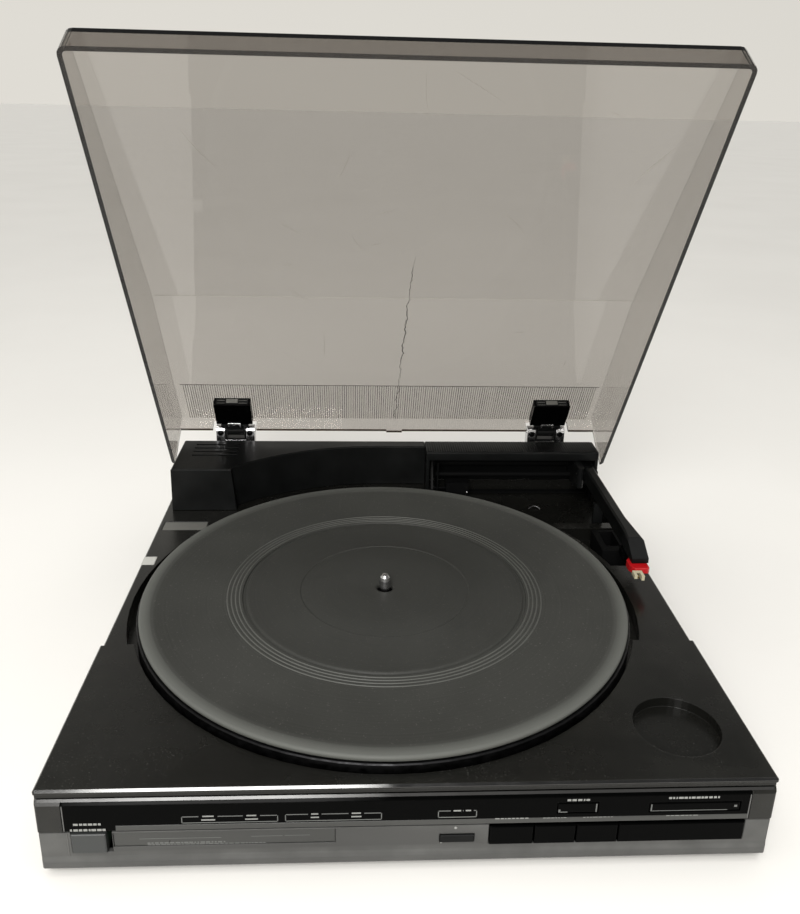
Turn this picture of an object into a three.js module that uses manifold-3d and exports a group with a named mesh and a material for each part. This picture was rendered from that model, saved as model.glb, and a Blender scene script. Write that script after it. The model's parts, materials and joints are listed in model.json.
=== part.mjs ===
// Linear-tracking record player with its dust cover open and its tonearm parked at the right.
// Units are millimetres, X to the right, Y towards the back, Z up from the table.
import * as THREE from 'three';
import { mergeVertices } from 'three/addons/utils/BufferGeometryUtils.js';
import Module from 'manifold-3d';

const wasm = await Module();
wasm.setup();

// ---------------------------------------------------------------- driving dimensions

const GAP = 0.3;                 // clearance between pieces that are fixed together
const WALL = 2.5;                // moulded wall thickness
const CENTRE_Y = 178.075;        // middle of the whole object from front to back

// Cabinet
const FRONT_HALF = 173;          // half width of the front part of the deck
const REAR_HALF = 171.2;         // half width behind the step
const STEP_Y = 111;
const DEPTH = 342.8;
const DECK_Z = 50.5;
const DECK_BOTTOM = DECK_Z - WALL;
const SEAM_TOP = 26.8;           // lower edge of the upper case
const SEAM_BOTTOM = 25.2;        // upper edge of the lower case
const TRAY_BOTTOM = 4;
const TRAY_HALF = 172.8;         // half width of the lower case outside
const TRAY_CORE_HALF = 171.6;    // half width its inside is drawn in from
const FLOOR_Z = 40.5;            // floor of the platter well and of the arm troughs
const FLOOR_THICKNESS = 2;
const FASCIA_HALF = 161;         // half width of the glossy strip between the end caps
const LEDGE_TOP = 44.6;
const LEDGE_BOTTOM = 41.8;
const GROOVE_DEPTH = 2.2;
const EDGE_THICKNESS = 2.1;
const CORNER_RADIUS = 1.2;       // upright edges of both halves of the case

// Platter
const PLATTER = { x: -8.7, y: 160.3 };
const MAT_RADIUS = 150;
const MAT_TOP = 57.5;
const MAT_THICKNESS = 3;
const PLATTER_RADIUS = 151.4;
const PLATTER_TOP = MAT_TOP - MAT_THICKNESS - GAP;
const WELL_FRONT_RADIUS = 153.2;
const WELL_REAR_RADIUS = 157;
const WELL_OUTER_RADIUS = 160.5;
const MOTOR_HOLE_RADIUS = 56;
const SPINDLE_RADIUS = 3;
const SPINDLE_TOP = 66.6;

// Record-adapter dish in the deck
const DISH = { x: 136.5, y: 37.2, radius: 22, depth: 5.5 };

// Rear housing and tonearm compartment
const HOUSING_TOP = 83.8;
const HOUSING_LEFT = -166.2;
const HOUSING_FRONT = 283.5;
const HOUSING_BACK = 341.8;
const HOUSING_CORNER_X = -121.3;
const ARC_RADIUS = 170;
const COVER_LEFT = 29.3;
const COVER_RIGHT = 168.6;
const COVER_FRONT = 318;
const COVER_LIP = 76.7;

// Carriage drive
const ROD = { y: 327, z: 61, radius: 2 };
const SCREW = { y: 334.4, z: 68, radius: 2.5 };
const SCREW_PULLEY_RADIUS = 4.5;
const MOTOR_SHAFT = { y: 325, z: 49.5, radius: 1 };
const MOTOR_PULLEY_RADIUS = 2.5;
const BELT = { x0: 34.2, x1: 35.8, thickness: 0.6 };
const SUPPORT_X = [38.6, 164.8];
const SUPPORT_THICKNESS = 1.1;

// Tonearm
const ARM = { left: 154, right: 161.1, top: 77.8, bottom: 66 };
const HEAD = { left: 152.9, right: 163.8, front: 172.3, back: 200, slope: 187, bottom: 66.6, lip: 69.9 };
const PIVOT = { y: 306, z: 71, radius: 1.2 };

// Dust cover, in its own frame: s runs forwards from the hinge, h upwards, when it is closed
const HINGE = { y: 351.35, z: 89.46, angle: 58.86 };
const HINGE_X = [-126, 131];
const LID = {
  frontHalf: 173.3, rearHalf: 171.8, thickness: 2.6, rim: -38.5,
  front: 350.5, rear: 5.85, frontTop: -20.9, bend: 145.4, top: 8.6,
  rearRim: -5.3, notchHalf: 17.5, notchTop: 4.2,
};

const root = new THREE.Group();
root.name = 'record_player';
root.position.y = -CENTRE_Y;

// ---------------------------------------------------------------- materials

const finish = (color, roughness, metalness) => ({ color, roughness, metalness });
const DECK_BLACK = finish(0x26251f, 0.45, 0);
const HOUSING_BLACK = finish(0x131312, 0.4, 0);
const GLOSS_BLACK = finish(0x08080a, 0.12, 0);
const CASE_GREY = finish(0x4b4a47, 0.5, 0);
const RUBBER = finish(0x3d3e3a, 0.85, 0);
const FOOT_RUBBER = finish(0x161616, 0.9, 0);
const CAST_METAL = finish(0x3a3a3a, 0.4, 0.8);
const STEEL = finish(0xc4c5c6, 0.22, 1);
const DULL_STEEL = finish(0x8c8e90, 0.4, 1);
const BOARD_GREEN = finish(0x2c5a3a, 0.6, 0);
const COPPER = finish(0xa55f33, 0.35, 1);
const MAGNET = finish(0x2b2b2d, 0.5, 0.3);
const BRASS = finish(0xc9a85a, 0.3, 1);
const STYLUS_RED = finish(0xc4171c, 0.35, 0);
const CLEAR_GUARD = finish(0xe0d8b4, 0.3, 0);
const INLAY_GREY = finish(0x3f3e3c, 0.35, 0);
const PAD_GREY = finish(0x83837f, 0.7, 0);
const PAD_SILVER = finish(0xc8c8c4, 0.35, 0.4);
const SMOKED = finish(0x6e665c, 0.08, 0);

// ---------------------------------------------------------------- solid helpers

// Manifold solid from a closed geometry, turned right side out if needed.
function solid(geometry) {
  let g = geometry.clone();
  g.deleteAttribute('normal');
  g.deleteAttribute('uv');
  g = mergeVertices(g, 1e-4);
  const position = g.attributes.position;
  const index = Uint32Array.from(g.index.array);
  const a = new THREE.Vector3();
  const b = new THREE.Vector3();
  const c = new THREE.Vector3();
  let volume = 0;
  for (let i = 0; i < index.length; i += 3) {
    a.fromBufferAttribute(position, index[i]);
    b.fromBufferAttribute(position, index[i + 1]);
    c.fromBufferAttribute(position, index[i + 2]);
    volume += a.dot(b.cross(c));
  }
  if (volume < 0) {
    for (let i = 0; i < index.length; i += 3) {
      [index[i + 1], index[i + 2]] = [index[i + 2], index[i + 1]];
    }
  }
  const vertProperties = Float32Array.from(position.array);
  return new wasm.Manifold(new wasm.Mesh({ numProp: 3, vertProperties, triVerts: index }));
}

function geometryOf(manifold) {
  const mesh = manifold.getMesh();
  const g = new THREE.BufferGeometry();
  g.setAttribute('position', new THREE.BufferAttribute(mesh.vertProperties, 3));
  g.setIndex(new THREE.BufferAttribute(mesh.triVerts, 1));
  g.computeVertexNormals();
  return g;
}

function addPart(parent, name, shape, look) {
  const geometry = shape.isBufferGeometry ? shape : geometryOf(shape);
  const mesh = new THREE.Mesh(geometry, new THREE.MeshStandardMaterial(look));
  mesh.name = name;
  parent.add(mesh);
  return mesh;
}

const join = (...solids) => solids.reduce((sum, next) => sum.add(next));

function box(x0, x1, y0, y1, z0, z1) {
  const g = new THREE.BoxGeometry(x1 - x0, y1 - y0, z1 - z0);
  g.translate((x0 + x1) / 2, (y0 + y1) / 2, (z0 + z1) / 2);
  return solid(g);
}

// Upright prism from a list of plan points.
function prism(points, z0, z1) {
  const shape = new THREE.Shape(points.map(([x, y]) => new THREE.Vector2(x, y)));
  const g = new THREE.ExtrudeGeometry(shape, { depth: z1 - z0, bevelEnabled: false });
  g.translate(0, 0, z0);
  return solid(g);
}

// Prism along X from a list of [y, z] points.
function profileX(points, x0, x1) {
  const shape = new THREE.Shape(points.map(([y, z]) => new THREE.Vector2(y, z)));
  const g = new THREE.ExtrudeGeometry(shape, { depth: x1 - x0, bevelEnabled: false });
  g.applyMatrix4(new THREE.Matrix4().set(0, 0, 1, x0, 1, 0, 0, 0, 0, 1, 0, 0, 0, 0, 0, 1));
  return solid(g);
}

// Solid between two plan outlines with the same number of points.
function loft(lower, z0, upper, z1) {
  const count = lower.length;
  const vertices = [];
  lower.forEach(([x, y]) => vertices.push(x, y, z0));
  upper.forEach(([x, y]) => vertices.push(x, y, z1));
  const caps = THREE.ShapeUtils.triangulateShape(lower.map(([x, y]) => new THREE.Vector2(x, y)), []);
  const index = [];
  for (const [i, j, k] of caps) {
    index.push(i, k, j);
    index.push(i + count, j + count, k + count);
  }
  for (let i = 0; i < count; i += 1) {
    const next = (i + 1) % count;
    index.push(i, next, next + count);
    index.push(i, next + count, i + count);
  }
  const g = new THREE.BufferGeometry();
  g.setAttribute('position', new THREE.Float32BufferAttribute(vertices, 3));
  g.setIndex(index);
  return solid(g);
}

function cylinderZ(x, y, radius, z0, z1, segments = 32) {
  const g = new THREE.CylinderGeometry(radius, radius, z1 - z0, segments);
  g.rotateX(Math.PI / 2);
  g.translate(x, y, (z0 + z1) / 2);
  return solid(g);
}

function cylinderX(y, z, radius, x0, x1, segments = 20) {
  const g = new THREE.CylinderGeometry(radius, radius, x1 - x0, segments);
  g.rotateZ(Math.PI / 2);
  g.translate((x0 + x1) / 2, y, z);
  return solid(g);
}

function cylinderY(x, z, radius, y0, y1, segments = 20) {
  const g = new THREE.CylinderGeometry(radius, radius, y1 - y0, segments);
  g.translate(x, (y0 + y1) / 2, z);
  return solid(g);
}

// Turned body about a vertical axis from [radius, z] points.
function turned(points, x, y, segments) {
  const g = new THREE.LatheGeometry(points.map(([r, z]) => new THREE.Vector2(r, z)), segments);
  g.rotateX(Math.PI / 2);
  g.translate(x, y, 0);
  return solid(g);
}

function arcPoints(cx, cy, radius, from, to, steps) {
  return Array.from({ length: steps + 1 }, (_, i) => {
    const angle = THREE.MathUtils.degToRad(from + ((to - from) * i) / steps);
    return [cx + radius * Math.cos(angle), cy + radius * Math.sin(angle)];
  });
}

function roundedRectangle(x0, x1, y0, y1, radius, steps = 3) {
  return [
    ...arcPoints(x1 - radius, y1 - radius, radius, 0, 90, steps),
    ...arcPoints(x0 + radius, y1 - radius, radius, 90, 180, steps),
    ...arcPoints(x0 + radius, y0 + radius, radius, 180, 270, steps),
    ...arcPoints(x1 - radius, y0 + radius, radius, 270, 360, steps),
  ];
}

// ---------------------------------------------------------------- cabinet

// Outline of the upper case, drawn in by the given amount.
function deckOutline(inset) {
  const front = FRONT_HALF - inset;
  const rear = REAR_HALF - inset;
  const step = STEP_Y - (inset > 0 ? inset : 0);
  const corner = CORNER_RADIUS;
  return [
    ...arcPoints(front - corner, inset + corner, corner, -90, 0, 3),
    [front, step],
    [rear, step],
    ...arcPoints(rear - corner, DEPTH - inset - corner, corner, 0, 90, 3),
    ...arcPoints(-rear + corner, DEPTH - inset - corner, corner, 90, 180, 3),
    [-rear, step],
    [-front, step],
    ...arcPoints(-front + corner, inset + corner, corner, 180, 270, 3),
  ];
}

function circleOutline(radius, segments = 72) {
  return arcPoints(PLATTER.x, PLATTER.y, radius, 0, 360 - 360 / segments, segments - 1);
}

function wellCavity(z0, z1) {
  const close = prism(circleOutline(WELL_FRONT_RADIUS), z0, z1);
  const wide = prism(circleOutline(WELL_REAR_RADIUS), z0, z1);
  const rearHalf = box(-FRONT_HALF, FRONT_HALF, STEP_Y, DEPTH, z0, z1);
  return close.add(wide.intersect(rearHalf));
}

const TROUGHS = [
  { x0: 96, x1: 166.2, y0: 197, y1: 252 },
  { x0: 32, x1: 166.2, y0: 260, y1: 338.5 },
];
const STRIPS = [
  { name: 'deck_strip_rear', x0: -167.6, x1: -136.5, y0: 250.5, y1: 263, look: PAD_GREY },
  { name: 'deck_strip_side', x0: -171.5, x1: -162.6, y0: 201, y1: 212, look: PAD_SILVER },
];
const STRIP_DEPTH = 0.8;

function buildTopCabinet() {
  const bevel = 0.9;
  const walls = prism(deckOutline(0), SEAM_TOP, DECK_Z - bevel);
  const edge = loft(deckOutline(0), DECK_Z - bevel, deckOutline(bevel), DECK_Z);
  let body = walls.add(edge).subtract(prism(deckOutline(WALL), SEAM_TOP - 1, DECK_BOTTOM));

  // The platter well and the two arm troughs hang below the deck as closed tubs.
  const below = FLOOR_Z - FLOOR_THICKNESS;
  body = body.add(prism(circleOutline(WELL_OUTER_RADIUS), below, DECK_BOTTOM + 1));
  for (const t of TROUGHS) {
    const tub = box(t.x0 - WALL, t.x1 + WALL, t.y0 - 1.6, t.y1 + WALL, below, DECK_BOTTOM + 1);
    body = body.add(tub);
  }
  const core = prism(circleOutline(WELL_OUTER_RADIUS), FLOOR_Z - 1, DECK_Z + 1);
  for (const t of TROUGHS) {
    const hollow = box(t.x0, t.x1, t.y0, t.y1, FLOOR_Z, DECK_Z + 1);
    body = body.subtract(hollow.subtract(core));
  }
  body = body.subtract(wellCavity(FLOOR_Z, DECK_Z + 1));
  body = body.subtract(cylinderZ(PLATTER.x, PLATTER.y, MOTOR_HOLE_RADIUS, below - 1, FLOOR_Z + 1, 48));

  // Dish for a single-record adapter.
  const dishFloor = DECK_Z - DISH.depth;
  body = body.add(cylinderZ(DISH.x, DISH.y, DISH.radius + 2, dishFloor - 2, DECK_BOTTOM + 1, 40));
  body = body.subtract(cylinderZ(DISH.x, DISH.y, DISH.radius, dishFloor, DECK_Z + 1, 40));

  for (const s of STRIPS) {
    body = body.subtract(
      box(s.x0 - GAP, s.x1 + GAP, s.y0 - GAP, s.y1 + GAP, DECK_Z - STRIP_DEPTH, DECK_Z + 1),
    );
  }

  // Shadow groove under the deck's front edge, then a ledge, then the opening for the fascia.
  const groove = profileX([
    [-1, DECK_Z - EDGE_THICKNESS], [GROOVE_DEPTH, DECK_Z - EDGE_THICKNESS],
    [GROOVE_DEPTH, LEDGE_TOP], [0, LEDGE_BOTTOM], [-1, LEDGE_BOTTOM],
  ], -FRONT_HALF - 1, FRONT_HALF + 1);
  body = body.subtract(groove);
  const backing = box(-FASCIA_HALF - 2, FASCIA_HALF + 2, GROOVE_DEPTH, GROOVE_DEPTH + WALL,
    LEDGE_TOP, DECK_BOTTOM + 1);
  body = body.add(backing);
  return body.subtract(box(-FASCIA_HALF - GAP, FASCIA_HALF + GAP, -1, 6, SEAM_TOP - 1, LEDGE_TOP));
}

addPart(root, 'top_cabinet', buildTopCabinet(), DECK_BLACK);

for (const s of STRIPS) {
  const x0 = Math.max(s.x0, -REAR_HALF);
  const top = DECK_Z - 0.2;
  addPart(root, s.name, box(x0, s.x1, s.y0, s.y1, DECK_Z - STRIP_DEPTH + 0.1, top), s.look);
}

// Front controls: centre line x0..x1 and z0..z1 of each opening, with its travel.
const SOFT_KEYS = [
  { name: 'speed_key', x0: 68.3, x1: 87.5, z0: 32.4, z1: 38.2 },
  { name: 'size_key', x0: 112.4, x1: 156.2, z0: 32.2, z1: 37.2 },
];
const KEY_BANK = { x0: 36.8, x1: 160.5, z0: 13.8, z1: 24.9 };
const KEYS = [
  { name: 'forward_key', x0: 37, x1: 57.8 },
  { name: 'cueing_key', x0: 58.4, x1: 78.1 },
  { name: 'reverse_key', x0: 78.7, x1: 98.5 },
  { name: 'play_cut_key', x0: 99.1, x1: 160.3 },
];
const POWER = { x0: -158.2, x1: -142.3, slotRight: -139.6, z0: 13.8, z1: 24.9 };
const REPEAT = { x0: 13.3, x1: 29.5, z0: 15.4, z1: 19.8 };
const INLAY = { x0: -139, x1: -36.4, z0: 16.6, z1: 24.2, depth: 1 };
const JACKS = [{ name: 'signal_jack_left', x: 92 }, { name: 'signal_jack_right', x: 110 }];
const JACK_Z = 15;
const INLET = { x0: -131, x1: -109, z0: 9, z1: 21 };
const KEY_CLEARANCE = 0.35;

function trayOutline(inset, half = TRAY_CORE_HALF) {
  return roundedRectangle(-half + inset, half - inset, inset, DEPTH - inset, CORNER_RADIUS);
}

const FACE_Y = 1.2;              // the lower front face stands back behind the bottom band

function buildBaseTray() {
  const chamfer = 1.4;
  const shell = join(
    loft(trayOutline(chamfer, TRAY_HALF), TRAY_BOTTOM, trayOutline(0, TRAY_HALF), TRAY_BOTTOM + chamfer),
    prism(trayOutline(0, TRAY_HALF), TRAY_BOTTOM + chamfer, SEAM_BOTTOM),
  );
  const cavity = prism(trayOutline(FACE_Y + WALL), TRAY_BOTTOM + WALL, SEAM_BOTTOM + 1);
  let body = shell.subtract(cavity);
  body = body.subtract(profileX([
    [-1, SEAM_BOTTOM + 1], [FACE_Y, SEAM_BOTTOM + 1], [FACE_Y, 11.3], [0, 8.6], [-1, 8.6],
  ], -FRONT_HALF - 1, FRONT_HALF + 1));

  // Tongue that stands inside the wall of the upper case.
  const outer = FACE_Y + WALL - 0.4;
  const lip = prism(trayOutline(outer), SEAM_BOTTOM - 3, SEAM_BOTTOM + 4)
    .subtract(prism(trayOutline(outer + 1.6), SEAM_BOTTOM - 4, SEAM_BOTTOM + 5))
    .subtract(box(-FRONT_HALF, FRONT_HALF, -1, 20, SEAM_BOTTOM - 4, SEAM_BOTTOM + 5));
  body = body.add(lip);

  const cutFront = (x0, x1, z0, z1) => {
    body = body.subtract(box(x0, x1, -1, 8, z0, z1));
  };
  cutFront(POWER.x0 - KEY_CLEARANCE, POWER.slotRight, POWER.z0 - KEY_CLEARANCE, SEAM_BOTTOM + 1);
  cutFront(KEY_BANK.x0 - KEY_CLEARANCE, KEY_BANK.x1 + KEY_CLEARANCE,
    KEY_BANK.z0 - KEY_CLEARANCE, SEAM_BOTTOM + 1);
  cutFront(REPEAT.x0 - KEY_CLEARANCE, REPEAT.x1 + KEY_CLEARANCE,
    REPEAT.z0 - KEY_CLEARANCE, REPEAT.z1 + KEY_CLEARANCE);
  body = body.subtract(box(INLAY.x0 - GAP, INLAY.x1 + GAP, -1, FACE_Y + INLAY.depth,
    INLAY.z0 - GAP, INLAY.z1 + GAP));

  for (const jack of JACKS) {
    body = body.subtract(cylinderY(jack.x, JACK_Z, 4.7, DEPTH - 6, DEPTH + 1));
  }
  body = body.subtract(box(INLET.x0 - GAP, INLET.x1 + GAP, DEPTH - 6, DEPTH + 1,
    INLET.z0 - GAP, INLET.z1 + GAP));
  return body;
}

addPart(root, 'base_tray', buildBaseTray(), CASE_GREY);

addPart(root, 'front_inlay', box(INLAY.x0, INLAY.x1, FACE_Y + 0.3, FACE_Y + INLAY.depth - 0.1,
  INLAY.z0, INLAY.z1), INLAY_GREY);

const FEET = [
  ['foot_front_left', -140, 36], ['foot_front_right', 140, 36],
  ['foot_rear_left', -140, 308], ['foot_rear_right', 140, 308],
];
for (const [name, x, y] of FEET) {
  const profile = [[0, 0], [8.4, 0], [9.6, 1.2], [10, TRAY_BOTTOM - GAP], [0, TRAY_BOTTOM - GAP]];
  addPart(root, name, turned(profile, x, y, 24), FOOT_RUBBER);
}

// ---------------------------------------------------------------- fascia and keys

const STRIP_BACK = 5.4;
let fascia = profileX([
  [0.2, SEAM_TOP + GAP], [STRIP_BACK, SEAM_TOP + GAP], [STRIP_BACK, LEDGE_TOP - GAP],
  [GROOVE_DEPTH, LEDGE_TOP - GAP], [0.2, LEDGE_BOTTOM - GAP],
], -FASCIA_HALF, FASCIA_HALF);
for (const key of SOFT_KEYS) {
  fascia = fascia.subtract(box(key.x0 - KEY_CLEARANCE, key.x1 + KEY_CLEARANCE, -1, STRIP_BACK + 1,
    key.z0 - KEY_CLEARANCE, key.z1 + KEY_CLEARANCE));
}
addPart(root, 'display_strip', fascia, GLOSS_BLACK);

// Push key with a chamfered front and a stem behind it, drawn lying down and then stood up.
const STEM = { halfWidth: 2, halfHeight: 1.5, length: 2 };

function pushKey(x0, x1, z0, z1, front, back, look, name) {
  const chamfer = 0.5;
  const cap = [[x0, z0], [x1, z0], [x1, z1], [x0, z1]];
  const face = [
    [x0 + chamfer, z0 + chamfer], [x1 - chamfer, z0 + chamfer],
    [x1 - chamfer, z1 - chamfer], [x0 + chamfer, z1 - chamfer],
  ];
  const middleX = (x0 + x1) / 2;
  const middleZ = (z0 + z1) / 2;
  const stem = box(middleX - STEM.halfWidth, middleX + STEM.halfWidth,
    middleZ - STEM.halfHeight, middleZ + STEM.halfHeight, -back - STEM.length, -back);
  const body = join(
    loft(face, -front, cap, -front - chamfer),
    prism(cap, -back, -front - chamfer),
    stem,
  );
  const upright = new THREE.Matrix4().makeRotationX(Math.PI / 2);
  return addPart(root, name, geometryOf(body).applyMatrix4(upright), look);
}

for (const key of SOFT_KEYS) {
  pushKey(key.x0, key.x1, key.z0, key.z1, 0.1, 7, GLOSS_BLACK, key.name);
}
for (const key of KEYS) {
  pushKey(key.x0, key.x1, KEY_BANK.z0, KEY_BANK.z1, 0.2, 8, GLOSS_BLACK, key.name);
}
pushKey(POWER.x0, POWER.x1, POWER.z0, POWER.z1, 0, 8, CASE_GREY, 'power_button');
pushKey(REPEAT.x0, REPEAT.x1, REPEAT.z0, REPEAT.z1, 0.3, 8, HOUSING_BLACK, 'repeat_button');

const BOARD_Y = 14;
let keyBoard = box(-160, 164, BOARD_Y, BOARD_Y + 1.6, 8, 37.5);
for (const key of [...KEYS, { x0: POWER.x0, x1: POWER.x1 }, REPEAT]) {
  const middle = (key.x0 + key.x1) / 2;
  keyBoard = keyBoard.add(box(middle - 3, middle + 3, BOARD_Y - 1.4, BOARD_Y + 0.5, 14, 20));
}
addPart(root, 'key_board', keyBoard, BOARD_GREEN);

// ---------------------------------------------------------------- boards, power supply, sockets

const mainBoard = join(
  box(-150, -52, 34, 128, 12, 13.6),
  box(-118, -92, 62, 76, 13, 17.5),
  cylinderZ(-136, 110, 6, 13, 30, 16),
  cylinderZ(-118, 110, 6, 13, 30, 16),
  box(-84, -60, 104, 108, 13, 32),
  box(-80, -64, 46, 58, 13, 19),
);
addPart(root, 'main_board', mainBoard, BOARD_GREEN);

const CORE = { x0: -158, x1: -120, y0: 300, y1: 326, z0: 8, z1: 36 };
const LEG = 7;
const WINDOW = 8;
const legCentre = (CORE.x0 + CORE.x1) / 2;
let core = box(CORE.x0, CORE.x1, CORE.y0, CORE.y1, CORE.z0, CORE.z1);
for (const side of [-1, 1]) {
  const inner = legCentre + side * (LEG / 2 + 1);
  const outer = legCentre + side * (LEG / 2 + 1 + WINDOW);
  core = core.subtract(box(Math.min(inner, outer), Math.max(inner, outer),
    CORE.y0 - 1, CORE.y1 + 1, CORE.z0 + 5, CORE.z1 - 5));
}
addPart(root, 'transformer_core', core, DULL_STEEL);

const coilOuter = box(legCentre - 12.2, legCentre + 12.2, CORE.y0 - 7, CORE.y1 + 7,
  CORE.z0 + 5.3, CORE.z1 - 5.3);
const coilHole = box(legCentre - LEG / 2 - 1.3, legCentre + LEG / 2 + 1.3, CORE.y0 - GAP, CORE.y1 + GAP,
  CORE.z0, CORE.z1);
addPart(root, 'transformer_coil', coilOuter.subtract(coilHole), COPPER);

for (const jack of JACKS) {
  const body = join(
    cylinderY(jack.x, JACK_Z, 6, DEPTH - 14, DEPTH - FACE_Y - WALL - GAP),
    cylinderY(jack.x, JACK_Z, 4.3, DEPTH - 8, DEPTH + 7),
  );
  addPart(root, jack.name, body.subtract(cylinderY(jack.x, JACK_Z, 1.7, DEPTH - 5, DEPTH + 8)), BRASS);
}

let inlet = box(INLET.x0, INLET.x1, DEPTH - 9, DEPTH - 0.5, INLET.z0, INLET.z1);
inlet = inlet.subtract(box(INLET.x0 + 2, INLET.x1 - 2, DEPTH - 7, DEPTH + 1, INLET.z0 + 2, INLET.z1 - 2));
for (const x of [-124, -116]) {
  inlet = inlet.add(cylinderY(x, JACK_Z, 1.2, DEPTH - 8, DEPTH - 2, 12));
}
addPart(root, 'power_inlet', inlet, HOUSING_BLACK);

// ---------------------------------------------------------------- motor and platter

const BEARING_TOP = 44;
const bearing = turned([
  [SPINDLE_RADIUS + 0.08, 14], [9, 14], [9, 33], [26, 33], [26, 34.7], [9, 34.7], [7.5, BEARING_TOP],
  [SPINDLE_RADIUS + 0.08, BEARING_TOP], [SPINDLE_RADIUS + 0.08, 14],
], PLATTER.x, PLATTER.y, 32);
addPart(root, 'bearing_housing', bearing, BRASS);

let stator = turned([
  [10, 35], [54, 35], [54, 36.6], [10, 36.6], [10, 35],
], PLATTER.x, PLATTER.y, 48);
for (let i = 0; i < 6; i += 1) {
  const angle = (i * Math.PI) / 3;
  const x = PLATTER.x + 41 * Math.cos(angle);
  const y = PLATTER.y + 41 * Math.sin(angle);
  stator = stator.add(cylinderZ(x, y, 9, 36, 40.2, 14));
}
addPart(root, 'motor_stator', stator, COPPER);

const platterGroup = new THREE.Group();
platterGroup.name = 'platter_assembly';
platterGroup.position.set(PLATTER.x, PLATTER.y, 0);
root.add(platterGroup);

const PLATTER_SEGMENTS = 72;
const HUB = { radius: 11, bottom: 46.5 };
const DISC_UNDERSIDE = 50.2;
const RIM = { inner: 146.5, bottom: 42.4, chamfer: 0.8, edge: 0.6 };
addPart(platterGroup, 'platter', turned([
  [SPINDLE_RADIUS + GAP, HUB.bottom], [HUB.radius, HUB.bottom], [HUB.radius + 1, DISC_UNDERSIDE],
  [RIM.inner - 2, DISC_UNDERSIDE], [RIM.inner, RIM.bottom], [PLATTER_RADIUS - RIM.chamfer, RIM.bottom],
  [PLATTER_RADIUS, RIM.bottom + RIM.chamfer], [PLATTER_RADIUS, PLATTER_TOP - RIM.edge],
  [PLATTER_RADIUS - RIM.edge, PLATTER_TOP], [SPINDLE_RADIUS + GAP, PLATTER_TOP],
  [SPINDLE_RADIUS + GAP, HUB.bottom],
], 0, 0, PLATTER_SEGMENTS), CAST_METAL);

const MAT_RIM = 7;
addPart(platterGroup, 'platter_mat', turned([
  [5, MAT_TOP - MAT_THICKNESS], [MAT_RADIUS - 0.5, MAT_TOP - MAT_THICKNESS], [MAT_RADIUS, MAT_TOP - 2],
  [MAT_RADIUS - 0.4, MAT_TOP - 0.2], [MAT_RADIUS - 1, MAT_TOP],
  [MAT_RADIUS - MAT_RIM, MAT_TOP], [MAT_RADIUS - MAT_RIM - 0.6, MAT_TOP - 0.5],
  [95, MAT_TOP - 0.5], [94, MAT_TOP - 0.9], [85, MAT_TOP - 0.9], [84, MAT_TOP - 0.5],
  [52, MAT_TOP - 0.5], [51, MAT_TOP - 0.8], [50, MAT_TOP - 0.5],
  [5, MAT_TOP - 0.5], [5, MAT_TOP - MAT_THICKNESS],
], 0, 0, PLATTER_SEGMENTS), RUBBER);

addPart(platterGroup, 'magnet_ring', turned([
  [32, 41.6], [50, 41.6], [50, 49.9], [32, 49.9], [32, 41.6],
], 0, 0, 48), MAGNET);

addPart(platterGroup, 'spindle', turned([
  [0, 15], [SPINDLE_RADIUS - 0.8, 15], [SPINDLE_RADIUS, 16], [SPINDLE_RADIUS, 57], [3.6, 57.4],
  [3.6, 62.6], [3.1, 64.8], [1.9, 66.2], [0, SPINDLE_TOP],
], 0, 0, 32), STEEL);

// ---------------------------------------------------------------- rear housing and arm cover

function housingOutline(inset, lean) {
  const left = HOUSING_LEFT + inset;
  const front = HOUSING_FRONT + inset + lean * 1.6;
  const corner = HOUSING_CORNER_X - inset - lean * 3.4;
  const radius = ARC_RADIUS + inset;
  const start = THREE.MathUtils.radToDeg(Math.acos((corner - PLATTER.x) / radius));
  const right = COVER_LEFT - GAP - inset;
  return [
    [left, front],
    [corner, front],
    ...arcPoints(PLATTER.x, PLATTER.y, radius, start, 90, 12),
    [right, PLATTER.y + radius],
    [right, HOUSING_BACK - inset],
    [left, HOUSING_BACK - inset],
  ];
}

const HOUSING_BOTTOM = DECK_Z + GAP;
let housing = join(
  loft(housingOutline(0, -1), HOUSING_BOTTOM, housingOutline(0, 0), HOUSING_TOP - 0.8),
  loft(housingOutline(0, 0), HOUSING_TOP - 0.8, housingOutline(0.8, 0), HOUSING_TOP),
);
housing = housing.subtract(prism(housingOutline(WALL + 0.4, 0), HOUSING_BOTTOM - 1, HOUSING_TOP - WALL));
const VENTS = { x0: -155.5, x1: -120.5, first: 309.6, pitch: 7.3, width: 2.6, count: 4 };
for (let i = 0; i < VENTS.count; i += 1) {
  const y = VENTS.first + i * VENTS.pitch;
  const slot = box(VENTS.x0, VENTS.x1, y, y + VENTS.width, HOUSING_TOP - WALL - 1, HOUSING_TOP + 1);
  housing = housing.subtract(slot);
}
addPart(root, 'rear_housing', housing, HOUSING_BLACK);

const coverSide = [
  [COVER_FRONT, HOUSING_BOTTOM], [HOUSING_BACK, HOUSING_BOTTOM], [HOUSING_BACK, HOUSING_TOP - 1],
  [HOUSING_BACK - 1, HOUSING_TOP], [COVER_FRONT + 1.2, HOUSING_TOP], [COVER_FRONT, HOUSING_TOP - 1.2],
];
let armCover = profileX(coverSide, COVER_LEFT, COVER_RIGHT);
const coverHollow = (front, bottom, top) => box(
  COVER_LEFT + WALL, COVER_RIGHT - WALL, front, HOUSING_BACK - WALL, bottom, top,
);
armCover = armCover.subtract(coverHollow(COVER_FRONT - 1, HOUSING_BOTTOM - 1, COVER_LIP));
armCover = armCover.subtract(coverHollow(COVER_FRONT + WALL, COVER_LIP - 1, HOUSING_TOP - WALL));
addPart(root, 'arm_cover', armCover, HOUSING_BLACK);

// ---------------------------------------------------------------- carriage drive

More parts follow.
